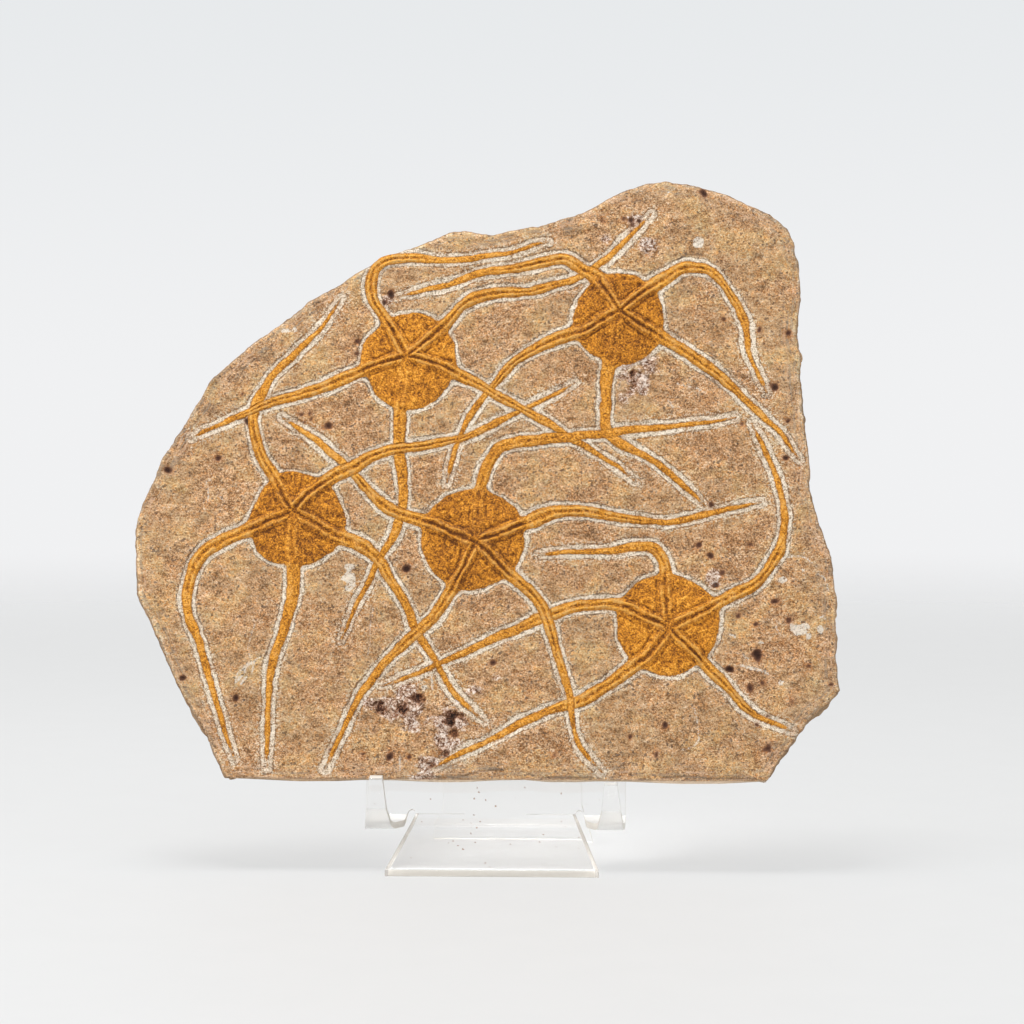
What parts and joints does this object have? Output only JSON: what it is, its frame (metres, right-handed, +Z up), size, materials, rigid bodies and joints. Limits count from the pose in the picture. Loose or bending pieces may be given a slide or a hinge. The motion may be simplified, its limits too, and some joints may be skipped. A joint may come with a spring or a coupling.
{
  "type": "fossil brittle star slab",
  "caption": "Thin slab of tan sandstone with crossing ochre brittle stars on its face, leaning on a bent clear easel.",
  "frame": {"origin": "on the surface the easel stands on, under the middle of the whole", "axes": "+X across the slab to the viewer's right, -Y the way the fossil face looks, +Z up"},
  "size_m": [0.2098, 0.0698, 0.2028],
  "materials": {
    "sandstone": "rough, matt, mottled tan",
    "fossil": "matt ochre, prepared fossil",
    "acrylic": "clear, polished"
  },
  "bodies": {
    "root": {"sandstone_slab": "sandstone", "brittle_star_upper_left": "fossil", "brittle_star_upper_right": "fossil", "brittle_star_left": "fossil", "brittle_star_centre": "fossil", "brittle_star_lower_right": "fossil", "acrylic_easel": "acrylic"}
  },
  "joints": []
}
